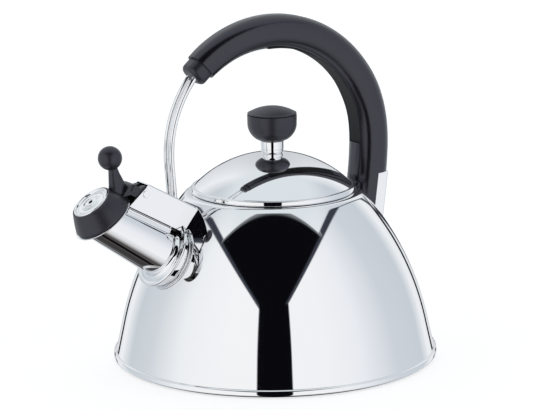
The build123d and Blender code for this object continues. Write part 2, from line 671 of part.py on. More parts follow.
os.makedirs("parts", exist_ok=True)
for make in PARTS:
    shape = make()
    if isinstance(shape, list):
        shape = Compound(children=shape)
    export_step(shape, f"parts/{make.__name__}.step")
    print(make.__name__, "written")
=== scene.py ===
import json
import math

import bmesh
import bpy
from mathutils import Matrix, Vector


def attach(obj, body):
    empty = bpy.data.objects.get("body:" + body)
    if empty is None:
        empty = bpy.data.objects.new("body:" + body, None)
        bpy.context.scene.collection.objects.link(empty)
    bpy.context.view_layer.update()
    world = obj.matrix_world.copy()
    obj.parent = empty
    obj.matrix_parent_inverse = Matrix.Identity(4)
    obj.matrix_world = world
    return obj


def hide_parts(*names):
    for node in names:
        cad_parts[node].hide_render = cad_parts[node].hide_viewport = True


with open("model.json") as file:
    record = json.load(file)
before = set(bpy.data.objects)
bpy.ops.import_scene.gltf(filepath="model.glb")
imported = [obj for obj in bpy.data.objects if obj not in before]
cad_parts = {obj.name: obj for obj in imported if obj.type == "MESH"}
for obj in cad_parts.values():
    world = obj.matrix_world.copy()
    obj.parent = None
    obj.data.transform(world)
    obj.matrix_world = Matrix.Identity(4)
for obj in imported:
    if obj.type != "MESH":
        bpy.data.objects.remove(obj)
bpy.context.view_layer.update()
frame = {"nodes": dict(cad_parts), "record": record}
NODES = frame["nodes"]
SLOT_OF = {part["node"]: part["material_slot"] for part in frame["record"]["subparts"]}
BODY_OF = {node: body for body, nodes in frame["record"]["behaviour"]["bodies"].items() for node in nodes}
JOINTS = {joint["name"]: joint for joint in frame["record"]["behaviour"]["joints"]}

# ---------------------------------------------------------------- driving values
# Lengths are in millimetres until a mesh is written, angles in degrees. The camera's place is in metres.

MM = 0.001
CREASE = 32.0             # edges that turn by more than this stay crisp

CAMERA_AT = Vector((-0.80965, -1.38003, 0.45506))
CAMERA_AZIMUTH = -30.4
CAMERA_YAW = -0.0020      # this and the next two in radians
CAMERA_PITCH = 0.2164
CAMERA_ROLL = -0.0145
SENSOR = 36.0
LENS = 162.61

FLOOR_R = 5000.0
BOWL_R = 3000.0
WALL_TOP = 9000.0

SHEET = 0.9
BASE_R = 110.0
BASE_FLANGE = 3.4         # how far in from the seam the floor starts
FLOOR_Z = 4.6
FLOOR_SHEET = 0.8
SEAM_TOP_Z = 5.6
SEAM_LOW_Z = 0.9
SEAM_ROUND = 1.7
WALL_START_R = 108.2
WALL_LEAN = 12.6
WALL_JOIN_Z = 26.6
WALL_ARC_R = 194.2
WALL_TOP_Z = 112.0
SEAT_Z = 113.6
SHOULDER_R = 56.2
MOUTH_R = 49.4
NECK_BOTTOM_Z = 106.0
LIP_ROUND = 0.7
SPOUT_HOLE_PLAY = 0.25

LID_RIM_R = 55.3
LID_RIM_LOW_Z = 113.7
LID_RIM_WIDTH = 3.1
LID_RIM_ROUND = 1.25
LID_TOP_Z = 139.7
LID_SPHERE_R = 74.6
LID_SHEET = 0.8
STUD_R = 2.1

FERRULE_R = 7.75
KNOB_R = 16.7
KNOB_BOTTOM_Z = 147.9
KNOB_SIDE_Z = 160.0
KNOB_SEAM_Z = 165.9
KNOB_TOP_Z = 171.2
KNOB_BULGE = (14.4, 152.6)
KNOB_GAP_DEPTH = 1.6

SPOUT_TILT = 32.6
SPOUT_ROOT = (-83.8, 80.1)
SPOUT_LENGTH = 54.4
SPOUT_ROOT_R = 16.6
SPOUT_MOUTH_R = 13.8
SPOUT_INSIDE = 3.0
COLLAR_R = 22.6
COLLAR_BEAD_R = 1.2
COLLAR_BEAD_AT = 1.8
FLARE_END = 5.2
FLARE_LENGTH = 2.7
SKIRT_END = -7.0
MOUTH_TILT = 53.3
CAP_CENTRE = (-128.6, 111.2)
FLANGE_R = 20.9
FLANGE_T = 0.7
FLANGE_BORE_R = 14.5
CAP_BASE_R = 19.7
CAP_TOP_R = 14.4
CAP_H = 13.2
WHISTLE_R = 13.1
WHISTLE_SEAT = 9.6

COVER_TILT = 29.5
COVER_CORNER = (-73.4, 95.35)
COVER_HALF_W = 8.2
COVER_PLAY = 0.08
SADDLE_ENDS = (9.6, 45.0)
COVER_LIP_ENDS = (10.5, 44.6)

# The lever's stem, from the ball's neck down: height, centre in X, half length and half width.
STEM_LEVELS = (
    (145.5, -120.4, 2.3, 2.5),
    (141.0, -119.8, 3.1, 2.9),
    (136.0, -118.5, 4.4, 3.3),
    (131.0, -117.2, 5.7, 3.8),
    (127.0, -116.8, 6.3, 4.3),
    (123.5, -117.2, 6.6, 4.9),
    (121.0, -118.2, 6.4, 5.3),
)
STEM_SQUARENESS = 0.8     # below 1 the stem's section is fuller than an ellipse

WIRE_R = 1.75
WIRE_Y = 3.75
WIRE_BEND_R = 80.0
WIRE_BEND = 60.0
WIRE_FOOT = (-76.3, 107.0)
WIRE_BEND_START = (-78.6, 139.5)
WIRE_STEPS = 48


# ---------------------------------------------------------------- node helpers

class Graph:
    """A short way to write a node tree: each call adds one node and returns its main output."""

    def __init__(self, tree):
        self.tree = tree
        self.nodes = tree.nodes
        tree.nodes.clear()

    def add(self, kind, inputs=None, out=0, **settings):
        node = self.nodes.new(kind)
        for name, value in settings.items():
            setattr(node, name, value)
        for key, value in (inputs or {}).items():
            self.feed(node.inputs[key], value)
        return node.outputs[out]

    def feed(self, socket, value):
        if isinstance(value, bpy.types.NodeSocket):
            self.tree.links.new(value, socket)
        else:
            socket.default_value = value

    def math(self, operation, a, b=0.0):
        return self.add("ShaderNodeMath", {0: a, 1: b}, operation=operation)

    def mix(self, share, low, high):
        """A colour between low and high."""
        return self.add("ShaderNodeMix", {0: share, 6: low, 7: high}, out=2, data_type="RGBA")

    def span(self, value, from_low, from_high, to_low, to_high):
        """The value carried from one range to another, held at its ends."""
        return self.add("ShaderNodeMapRange", {0: value, 1: from_low, 2: from_high, 3: to_low, 4: to_high})

    def fade(self, value, none_at, full_at):
        """0 to 1 between two values, with soft ends."""
        given = {0: value, 1: none_at, 2: full_at, 3: 0.0, 4: 1.0}
        return self.add("ShaderNodeMapRange", given, interpolation_type="SMOOTHSTEP")

    def ramp(self, value, stops):
        socket = self.add("ShaderNodeValToRGB", {0: value})
        ramp = socket.node.color_ramp
        while len(ramp.elements) < len(stops):
            ramp.elements.new(0.5)
        for element, (place, shade) in zip(ramp.elements, stops):
            element.position = place
            element.color = (*shade, 1.0)
        return socket


# ---------------------------------------------------------------- mesh helpers

def link_mesh(name, points, faces):
    """A smooth-shaded mesh object from points in millimetres."""
    mesh = bmesh.new()
    verts = [mesh.verts.new([v * MM for v in point]) for point in points]
    for face in faces:
        mesh.faces.new([verts[i] for i in face])
    bmesh.ops.remove_doubles(mesh, verts=mesh.verts, dist=1e-7)
    bmesh.ops.dissolve_degenerate(mesh, edges=mesh.edges, dist=1e-8)
    bmesh.ops.recalc_face_normals(mesh, faces=mesh.faces)
    data = bpy.data.meshes.new(name)
    mesh.to_mesh(data)
    mesh.free()
    smooth(data)
    piece = bpy.data.objects.new(name, data)
    bpy.context.scene.collection.objects.link(piece)
    return piece


def smooth(data):
    data.polygons.foreach_set("use_smooth", [True] * len(data.polygons))
    data.set_sharp_from_angle(angle=math.radians(CREASE))


def skin(name, rings, loop=False):
    """A skin through rings of equally many points, looped end to end or closed by a face on each end."""
    count = len(rings[0])
    points = [point for ring in rings for point in ring]
    faces = []
    for step in range(len(rings) if loop else len(rings) - 1):
        near, far = step * count, (step + 1) % len(rings) * count
        for i in range(count):
            j = (i + 1) % count
            faces.append((near + i, near + j, far + j, far + i))
    if not loop:
        faces += [tuple(reversed(range(count))), tuple(range(len(points) - count, len(points)))]
    return link_mesh(name, points, faces)


def lathe(name, outline, place=Matrix.Identity(4), turns=192):
    """A closed (radius, z) outline turned about place's Z axis."""
    angles = [math.tau * step / turns for step in range(turns)]
    rings = [[place @ Vector((r * math.cos(t), r * math.sin(t), z)) for t in angles] for r, z in outline]
    return skin(name, rings, loop=True)


def arc(centre, radius, start, end, steps=8):
    """Points on an arc, in the outline's plane."""
    angles = [math.radians(start + (end - start) * i / steps) for i in range(steps + 1)]
    return [(centre[0] + radius * math.cos(t), centre[1] + radius * math.sin(t)) for t in angles]


def bow(start, middle, end, steps=12):
    """Points of the arc through three points."""
    (ax, ay), (bx, by), (cx, cy) = start, middle, end
    d = 2 * (ax * (by - cy) + bx * (cy - ay) + cx * (ay - by))
    a, b, c = ax * ax + ay * ay, bx * bx + by * by, cx * cx + cy * cy
    ux = (a * (by - cy) + b * (cy - ay) + c * (ay - by)) / d
    uy = (a * (cx - bx) + b * (ax - cx) + c * (bx - ax)) / d
    first = math.degrees(math.atan2(ay - uy, ax - ux))
    last = math.degrees(math.atan2(cy - uy, cx - ux))
    sweep = (last - first + 180) % 360 - 180
    return arc((ux, uy), math.hypot(ax - ux, ay - uy), first, first + sweep, steps)


def facing(x, z, tilt):
    """A place on the symmetry plane whose Z axis points to the spout's side, tilt degrees above level."""
    c, s = math.cos(math.radians(tilt)), math.sin(math.radians(tilt))
    return Matrix(((0, -s, -c, x), (1, 0, 0, 0), (0, -c, s, z), (0, 0, 0, 1)))


def carve(piece, cutters):
    """Cut solids out of a piece, then drop them."""
    for cutter in cutters:
        cut = piece.modifiers.new("cut", "BOOLEAN")
        cut.operation = "DIFFERENCE"
        cut.solver = "EXACT"
        cut.object = cutter
    bpy.context.view_layer.update()
    shape = piece.evaluated_get(bpy.context.evaluated_depsgraph_get())
    data = bpy.data.meshes.new_from_object(shape)
    piece.modifiers.clear()
    old, piece.data = piece.data, data
    bpy.data.meshes.remove(old)
    smooth(data)
    for cutter in cutters:
        bpy.data.objects.remove(cutter)


def stand_in(piece, node):
    """Put a smooth mesh in the place of a CAD node, with its body and material."""
    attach(piece, BODY_OF[node])
    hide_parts(node)
    piece.data.materials.clear()
    piece.data.materials.append(finish_of(node))


def trim(piece, body, slot):
    """A piece that stands for no CAD node."""
    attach(piece, body)
    piece.data.materials.append(MATERIALS[slot])


# ---------------------------------------------------------------- kettle body

def wall_outline(inset=0.0, steps=56):
    """The wall from the base seam to the lid's seat."""
    lean = math.radians(WALL_LEAN)
    join_r = WALL_START_R - (WALL_JOIN_Z - SEAM_TOP_Z) * math.tan(lean)
    centre = (join_r - WALL_ARC_R * math.cos(lean), WALL_JOIN_Z - WALL_ARC_R * math.sin(lean))
    top = math.degrees(math.asin((WALL_TOP_Z - centre[1]) / WALL_ARC_R))
    foot = (WALL_START_R - inset / math.cos(lean), SEAM_TOP_Z)
    side = arc(centre, WALL_ARC_R - inset, WALL_LEAN, top, steps)
    shoulder = (SHOULDER_R - inset, SEAT_Z - inset)
    return [foot] + side + tangent_arc(side[-1], top + 90.0, shoulder)[1:]


def tangent_arc(start, heading, end, steps=6):
    """Points of the arc that leaves start along heading and stops at end."""
    across, up = end[0] - start[0], end[1] - start[1]
    turn = math.degrees(math.atan2(up, across)) - heading
    reach = math.hypot(across, up) / math.sin(math.radians(turn))
    points = []
    for i in range(steps + 1):
        part = math.radians(turn * i / steps)
        way = math.radians(heading) + part
        points.append((start[0] + reach * math.sin(part) * math.cos(way),
                       start[1] + reach * math.sin(part) * math.sin(way)))
    return points


def body():
    """The drawn shell: its wall, a rounded lip at the mouth, a short neck, and the wall's inside."""
    outer = wall_outline()
    lip = arc((MOUTH_R + LIP_ROUND, SEAT_Z - LIP_ROUND), LIP_ROUND, 90.0, 180.0, 5)
    neck = [(MOUTH_R, NECK_BOTTOM_Z), (MOUTH_R + SHEET, NECK_BOTTOM_Z), (MOUTH_R + SHEET, SEAT_Z - SHEET)]
    inner = list(reversed(wall_outline(SHEET, 24)))
    shell = lathe("shell", outer + lip + neck + inner, turns=288)
    hole_r = SPOUT_ROOT_R + SPOUT_HOLE_PLAY
    drill = [(0.0, -30.0), (hole_r, -30.0), (hole_r, 40.0), (0.0, 40.0)]
    carve(shell, [lathe("drill", drill, spout_place(), 96)])
    stand_in(shell, "body_shell")


def base_seam():
    """The kettle's floor, with the rolled seam round it."""
    inner_r = BASE_R - BASE_FLANGE
    top = arc((BASE_R - SEAM_ROUND, SEAM_TOP_Z - SEAM_ROUND), SEAM_ROUND, 90.0, 0.0)
    low = arc((BASE_R - SEAM_ROUND, SEAM_LOW_Z + SEAM_ROUND), SEAM_ROUND, 0.0, -90.0)
    floor_top = FLOOR_Z + FLOOR_SHEET
    outline = [(0.0, floor_top), (inner_r, floor_top), (inner_r, SEAM_TOP_Z)] + top + low
    outline += [(inner_r, SEAM_LOW_Z), (inner_r, FLOOR_Z), (0.0, FLOOR_Z)]
    stand_in(lathe("base", outline, turns=288), "base_pan")


# ---------------------------------------------------------------- lid and knob

def lid():
    """The domed lid: a spherical cap that drops into a rolled rim."""
    ball_z = LID_TOP_Z - LID_SPHERE_R
    inner_r = LID_RIM_R - LID_RIM_WIDTH
    joint_r = inner_r + LID_SHEET
    start = math.degrees(math.acos(STUD_R / LID_SPHERE_R))
    end = math.degrees(math.acos(joint_r / LID_SPHERE_R))
    dome = arc((0.0, ball_z), LID_SPHERE_R, start, end, 48)
    rim_top = dome[-1][1]
    high = (LID_RIM_R - LID_RIM_ROUND, rim_top - LID_RIM_ROUND)
    low = (LID_RIM_R - LID_RIM_ROUND, LID_RIM_LOW_Z + LID_RIM_ROUND)
    rim = arc(high, LID_RIM_ROUND, 90.0, 0.0) + arc(low, LID_RIM_ROUND, 0.0, -90.0)
    inside = list(reversed(arc((0.0, ball_z), LID_SPHERE_R - LID_SHEET, start, end, 24)))
    under = [(inner_r, LID_RIM_LOW_Z), (inner_r, inside[0][1] - LID_SHEET)]
    stand_in(lathe("lid", dome + rim + under + inside), "lid_dome")


def ferrule():
    """A turned ferrule: a tapered foot, a fine groove, then a straight neck."""
    low_z = LID_TOP_Z - 0.6
    groove_z = low_z + 3.4
    groove_r = FERRULE_R - 0.45
    foot_top = (FERRULE_R - 0.05, groove_z - 0.35)
    foot = bow((FERRULE_R - 0.9, low_z), (FERRULE_R - 0.3, low_z + 1.2), foot_top, 6)
    groove = [(groove_r, groove_z - 0.1), (groove_r, groove_z + 0.1), (FERRULE_R, groove_z + 0.35)]
    edge = arc((FERRULE_R - 0.5, KNOB_BOTTOM_Z - 0.5), 0.5, 0.0, 90.0, 4)
    outline = [(STUD_R, low_z)] + foot + groove + edge + [(STUD_R, KNOB_BOTTOM_Z)]
    stand_in(lathe("ferrule", outline, turns=96), "knob_ferrule")


def knob():
    """Two moulded halves with a shadow gap between them."""
    foot = (FERRULE_R + 0.3, KNOB_BOTTOM_Z)
    bulge = bow(foot, KNOB_BULGE, (KNOB_R - 0.1, KNOB_SIDE_Z), 20)
    rim = arc((KNOB_R - 0.5, KNOB_SEAM_Z - 0.7), 0.5, 0.0, 90.0, 5)
    gap = (KNOB_R - KNOB_GAP_DEPTH, KNOB_SEAM_Z - 0.2)
    bowl = [(0.0, KNOB_BOTTOM_Z)] + bulge + rim + [gap, (0.0, gap[1])]
    stand_in(lathe("bowl", bowl), "knob_bowl")
    edge_r = KNOB_R - 0.15
    start = (edge_r - 0.5, KNOB_SEAM_Z + 0.95)
    crown = tangent_arc((0.0, KNOB_TOP_Z), 0.0, start, 24)
    turned = arc((edge_r - 0.45, KNOB_SEAM_Z + 0.55), 0.42, 70.0, -90.0, 8)
    cap = crown + turned + [(gap[0] - 0.3, KNOB_SEAM_Z + 0.13), (gap[0] - 0.3, gap[1]), (0.0, gap[1])]
    stand_in(lathe("crown", cap), "knob_cap")


# ---------------------------------------------------------------- spout and whistle

def spout_place():
    """Where the spout's axis leaves the wall, with Z along the spout."""
    return facing(*SPOUT_ROOT, SPOUT_TILT)


def mouth_place():
    """The middle of the spout's mouth, with Z out through the whistle."""
    return facing(*CAP_CENTRE, MOUTH_TILT)


def spout_point(turn, along, inset):
    """A point of the tapered tube: turn in radians round its axis, along it from the wall."""
    r = SPOUT_ROOT_R - (SPOUT_ROOT_R - SPOUT_MOUTH_R) * along / SPOUT_LENGTH - inset
    return spout_place() @ Vector((r * math.cos(turn), r * math.sin(turn), along))


def tube():
    """The tapered tube, which ends in the slanting plane of its mouth."""
    turns = [math.tau * i / 128 for i in range(128)]
    mouth = mouth_place()
    normal, centre = mouth.col[2].xyz, mouth.translation

    def end_of(turn, inset):
        near, far = [(spout_point(turn, s, inset) - centre).dot(normal) for s in (0.0, 1.0)]
        return near / (near - far)

    rings = []
    for inset, shares in ((0.0, range(0, 9)), (SHEET, range(8, -1, -1))):
        ends = [end_of(turn, inset) + SPOUT_INSIDE for turn in turns]
        for share in shares:
            rings.append([
                spout_point(turn, end * share / 8 - SPOUT_INSIDE, inset)
                for turn, end in zip(turns, ends)
            ])
    stand_in(skin("tube", rings, loop=True), "spout_tube")


def collar():
    """A short trumpet that ends in a bead, with a narrower skirt behind it that meets the wall."""
    outer_r = COLLAR_R - 0.5
    skirt_r = COLLAR_R - 1.6
    skirt_in_r = skirt_r - 0.8
    throat_r = SPOUT_ROOT_R - 0.5
    flare_low = (outer_r, FLARE_END - FLARE_LENGTH)
    flare = bow((throat_r, FLARE_END), (throat_r + 1.1, FLARE_END - 2.5), flare_low, 20)
    bead = arc((COLLAR_R, COLLAR_BEAD_AT), COLLAR_BEAD_R, 110.0, -150.0, 22)
    skirt = [(skirt_r, COLLAR_BEAD_AT - 1.4), (skirt_r, SKIRT_END), (skirt_in_r, SKIRT_END)]
    under_mid = (throat_r + 1.4, FLARE_END - 3.6)
    under = bow((skirt_in_r, FLARE_END - 4.6), under_mid, (throat_r, FLARE_END - 0.9))
    trumpet = lathe("collar", flare[:-1] + bead + skirt + under, spout_place(), 256)
    solid_wall = wall_outline(0.2, 28) + [(0.0, SEAT_Z), (0.0, SEAM_TOP_Z)]
    place = facing(*COVER_CORNER, COVER_TILT)
    corners = [(-9.0, -COVER_PLAY), (-9.0, 20.0), (20.0, 20.0), (20.0, -COVER_PLAY)]
    half = COVER_HALF_W + COVER_PLAY
    sides = [[place @ Vector((y, -up, along)) for along, up in corners] for y in (-half, half)]
    bore = [(0.0, -10.0), (SPOUT_ROOT_R - 0.1, -10.0), (SPOUT_ROOT_R - 0.6, 12.0), (0.0, 12.0)]
    carve(trumpet, [
        lathe("solid_wall", solid_wall, turns=144),
        skin("cover_room", sides),
        lathe("bore", bore, spout_place(), 96),
    ])
    stand_in(trumpet, "spout_collar")


def flange():
    """The thin ring that the whistle cap closes on."""
    edge = arc((FLANGE_R - 0.3, -0.35), 0.3, -90.0, 90.0, 8)
    outline = [(FLANGE_BORE_R, -FLANGE_T + 0.05)] + edge + [(FLANGE_BORE_R, -0.05)]
    stand_in(lathe("flange", outline, mouth_place(), 160), "spout_flange")


def whistle_cap():
    """The tapered cap, slightly bellied, with a seat for the whistle in its face."""
    side = bow((CAP_BASE_R + 0.1, 1.2), (CAP_TOP_R + 3.0, CAP_H * 0.52), (CAP_TOP_R, CAP_H - 0.6), 18)
    crown = arc((CAP_TOP_R - 0.6, CAP_H - 0.6), 0.6, 10.0, 90.0, 5)
    seat = [(WHISTLE_R + 0.1, CAP_H), (WHISTLE_R + 0.1, WHISTLE_SEAT), (11.4, WHISTLE_SEAT)]
    outline = [(17.9, 0.12), (CAP_BASE_R, 0.12)] + side + crown + seat
    stand_in(lathe("cap", outline, mouth_place(), 160), "cap_shell")


def whistle_face():
    """The whistle's outer disc: a rolled rim, a step, a shallow dish and a low boss with a hole."""
    bead = arc((WHISTLE_R - 0.9, 13.2), 0.85, 0.0, 160.0, 12)
    step = bow((WHISTLE_R - 1.9, 12.9), (WHISTLE_R - 2.6, 12.75), (WHISTLE_R - 3.4, 12.95), 5)
    dish = bow((WHISTLE_R - 3.9, 12.8), (7.6, 12.7), (5.8, 13.1), 8)
    pip = bow((5.2, 13.2), (3.4, 13.9), (1.5, 13.7), 8)
    back = [(1.5, 11.4), (WHISTLE_R - 2.4, 11.6), (WHISTLE_R - 1.2, 10.3), (WHISTLE_R, 10.3)]
    face = lathe("whistle_face", bead + step + dish + pip + back, mouth_place(), 128)
    stand_in(face, "whistle_front_disc")


def pin_heads():
    """The hinge pin's domed heads on the cover's sides, each inside a fine raised ring."""
    x, _, z = [v / MM for v in JOINTS["whistle_flip"]["pos_m"]]
    ring = arc((2.25, 0.05), 0.28, 0.0, 180.0, 8)
    dome = bow((1.75, 0.1), (1.0, 0.42), (0.0, 0.52), 8)
    outline = ring + dome + [(0.0, 0.01), (2.5, 0.01)]
    for side, name in ((-1, "left"), (1, "right")):
        out = Matrix(((1, 0, 0, x), (0, 0, side, side * COVER_HALF_W), (0, 1, 0, z), (0, 0, 0, 1)))
        trim(lathe("pin_head_" + name, outline, out, 64), "kettle", "polished_steel")


def saddle():
    """The strip between cover and tube: a rib below a shadow gap, then a hollow that lands on the tube."""
    place = facing(*COVER_CORNER, COVER_TILT)
    section = [(7.2, 0.0), (7.2, -1.0)] + bow((7.9, -1.3), (8.35, -2.1), (8.0, -2.9), 6)
    section += bow((8.2, -3.2), (8.7, -4.4), (10.4, -6.4), 8) + [(10.4, -9.0)]
    section += [(-y, up) for y, up in reversed(section)]
    ends = [[place @ Vector((y, -up, along)) for y, up in section] for along in SADDLE_ENDS]
    strip = skin("saddle", ends)
    solid = [(0.0, -10.0), (SPOUT_ROOT_R + 0.5, -10.0), (12.9, 72.0), (0.0, 72.0)]
    carve(strip, [lathe("solid_tube", solid, spout_place(), 128)])
    stand_in(strip, "cover_saddle")


def shadow_gap_strips():
    """A thin black strip along each lower edge of the cover, filling the shadow gap above the saddle as
    painted shade.
    """
    place = facing(*COVER_CORNER, COVER_TILT)
    section = [(7.35, 0.02), (7.9, 0.02), (7.9, -0.75), (7.15, -0.75), (7.15, 0.02)]
    # black strips that stand for the gap's shadow: painted shade
    for side, name in ((-1, "left"), (1, "right")):
        ends = [[place @ Vector((side * y, -up, along)) for y, up in section] for along in COVER_LIP_ENDS]
        trim(skin("painted_shadow_strip_" + name, ends), "kettle", "black_nylon")


def lever_stem():
    """The lever's stem swells from the ball's neck down to the cap, all in soft curves."""
    def fuller(share):
        return math.copysign(abs(share) ** STEM_SQUARENESS, share)

    turns = [math.tau * i / 40 for i in range(40)]
    rings = [
        [(x + long * fuller(math.cos(t)), wide * fuller(math.sin(t)), z) for t in turns]
        for z, x, long, wide in STEM_LEVELS
    ]
    trim(skin("lever_stem", rings), "whistle", "black_moulding")


# ---------------------------------------------------------------- handle wires

def wire(side):
    """One handle wire: a straight foot, then one long bend into the grip."""
    foot, bend = Vector(WIRE_FOOT), Vector(WIRE_BEND_START)
    way = (bend - foot).normalized()
    inward = Vector((way.y, -way.x))
    centre = bend + inward * WIRE_BEND_R
    places = [(foot.lerp(bend, i / 6), way) for i in range(6)]
    for i in range(WIRE_STEPS + 1):
        turn = math.radians(WIRE_BEND * i / WIRE_STEPS)
        out = way * math.sin(turn) - inward * math.cos(turn)
        places.append((centre + out * WIRE_BEND_R, way * math.cos(turn) + inward * math.sin(turn)))
    turns = [math.tau * i / 32 for i in range(32)]
    rings = []
    for at, heading in places:
        across = Vector((heading.y, -heading.x))
        rings.append([
            (at.x + WIRE_R * math.cos(t) * across.x, side * WIRE_Y + WIRE_R * math.sin(t),
             at.y + WIRE_R * math.cos(t) * across.y)
            for t in turns
        ])
    name = "left" if side < 0 else "right"
    stand_in(skin("wire_" + name, rings), "handle_wire_" + name)


# ---------------------------------------------------------------- camera

def aim_camera():
    """The camera's axes come from its yaw, pitch and roll about a frame turned by CAMERA_AZIMUTH."""
    turn = Matrix.Rotation(math.radians(-CAMERA_AZIMUTH), 3, "Z")
    forward = Vector((
        math.sin(CAMERA_YAW) * math.cos(CAMERA_PITCH),
        math.cos(CAMERA_YAW) * math.cos(CAMERA_PITCH),
        -math.sin(CAMERA_PITCH),
    ))
    level = Vector((math.cos(CAMERA_YAW), -math.sin(CAMERA_YAW), 0.0))
    above = level.cross(forward)
    right = math.cos(CAMERA_ROLL) * level + math.sin(CAMERA_ROLL) * above
    up = math.cos(CAMERA_ROLL) * above - math.sin(CAMERA_ROLL) * level
    axes = Matrix([turn.inverted() @ v for v in (right, up, -forward)]).transposed()
    data = bpy.data.cameras.new("camera")
    data.sensor_width = SENSOR
    data.lens = LENS
    camera = bpy.data.objects.new("camera", data)
    camera.matrix_world = Matrix.Translation(CAMERA_AT) @ axes.to_4x4()
    bpy.context.scene.collection.objects.link(camera)
    bpy.context.scene.camera = camera


# ---------------------------------------------------------------- studio

# The studio's straight edges, as degrees round from the camera's side and degrees above level.
SLOT_HALF = (13.2, 12.0)           # left and right edges of the slot between the two side panels
SLOT_TOP = 30.0
LEFT_PANEL_PEAK = (70.0, 44.2)     # where each side panel's top edge is highest
RIGHT_PANEL_PEAK = (69.5, 47.3)
ROOF_PEAK = (0.0, 70.6)            # the roof panel's front edge
ROOF_END = 68.5
FRAME_HEIGHT = (2.9, 1.2)          # the side panels' frames, in front and behind
SLOT_BLACK = (0.0030, 0.0030, 0.0045, 1.0)
FRAME_GREY = (0.042, 0.047, 0.064, 1.0)
ROOF_GREY = (0.21, 0.225, 0.24, 1.0)
REAR_SLOT = 156.0                  # centre of the narrow low slot behind the kettle, on each side
REAR_GAP_HALF = 8.0                # half-width of the low gap right behind the kettle
EDGE_BLUR = 0.4


def studio_world():
    """Soft panels all round the kettle and one overhead, with dark gaps between them."""
    world = bpy.data.worlds.new("studio")
    world.use_nodes = True
    bpy.context.scene.world = world
    g = Graph(world.node_tree)
    toward = g.add("ShaderNodeTexCoord")
    turned = g.add(
        "ShaderNodeVectorRotate",
        {"Vector": toward, "Angle": math.radians(-CAMERA_AZIMUTH)},
        rotation_type="Z_AXIS",
    )
    parts = g.add("ShaderNodeSeparateXYZ", {0: turned}).node.outputs
    around = g.math("DEGREES", g.math("ARCTAN2", parts[0], g.math("MULTIPLY", parts[1], -1.0)))
    height = g.math("DEGREES", g.math("ARCSINE", parts[2]))
    beside = g.math("ABSOLUTE", around)
    seen = rear_gaps(g, beside, height, panels(g, around, height))
    seen = roof_gap(g, around, beside, height, seen)
    out = g.add("ShaderNodeBackground", {"Color": seen, "Strength": 1.0})
    final = g.nodes.new("ShaderNodeOutputWorld")
    g.tree.links.new(out, final.inputs["Surface"])


def panels(g, around, height):
    """The panels' light: a ring round the kettle, a roof, and less light from below."""
    ring = g.ramp(g.span(around, -180.0, 180.0, 0.0, 1.0), [
        (0.00, (0.62, 0.65, 0.68)),
        (0.10, (0.92, 0.94, 0.97)),
        (0.15, (0.62, 0.67, 0.71)),
        (0.22, (0.68, 0.72, 0.76)),
        (0.30, (0.93, 0.95, 0.97)),
        (0.40, (0.99, 0.99, 1.00)),
        (0.60, (0.97, 0.975, 0.99)),
        (0.68, (0.89, 0.91, 0.95)),
        (0.77, (0.66, 0.70, 0.75)),
        (0.86, (0.62, 0.67, 0.72)),
        (0.90, (0.92, 0.94, 0.96)),
        (1.00, (0.62, 0.65, 0.68)),
    ])
    roof = (0.78, 0.83, 0.86, 1.0)
    light = g.mix(g.fade(height, 42.0, 62.0), ring, roof)
    below = g.ramp(g.span(height, -90.0, 0.0, 0.0, 1.0), [
        (0.00, (0.060, 0.056, 0.054)),
        (0.33, (0.085, 0.078, 0.074)),
        (0.40, (0.36, 0.35, 0.35)),
        (0.50, (0.74, 0.74, 0.75)),
        (0.70, (1.0, 1.0, 1.0)),
    ])
    given = {0: 1.0, 6: light, 7: below}
    return g.add("ShaderNodeMix", given, out=2, data_type="RGBA", blend_type="MULTIPLY")


def rear_gaps(g, beside, height, light):
    """Narrow dark gaps behind the kettle, low down, which draw its outline."""
    from_slot = g.math("ABSOLUTE", g.math("SUBTRACT", beside, REAR_SLOT))
    off_slot = g.math("MAXIMUM", g.fade(from_slot, 2.0, 3.2), g.fade(height, 3.0, 9.0))
    from_rear = g.math("SUBTRACT", 180.0, beside)
    beside_rear = g.fade(from_rear, REAR_GAP_HALF - 1.0, REAR_GAP_HALF + 1.0)
    off_rear = g.math("MAXIMUM", beside_rear, g.fade(height, 0.0, 4.0))
    return g.mix(g.math("MULTIPLY", off_slot, off_rear), SLOT_BLACK, light)


def straight_edge(g, beside, peak):
    """Height in degrees of a level straight edge at each angle: it peaks at right angles to its run."""
    away = g.math("RADIANS", g.math("SUBTRACT", beside, peak[0]))
    slope = g.math("MULTIPLY", g.math("COSINE", away), math.tan(math.radians(peak[1])))
    return g.math("DEGREES", g.math("ARCTANGENT", slope))


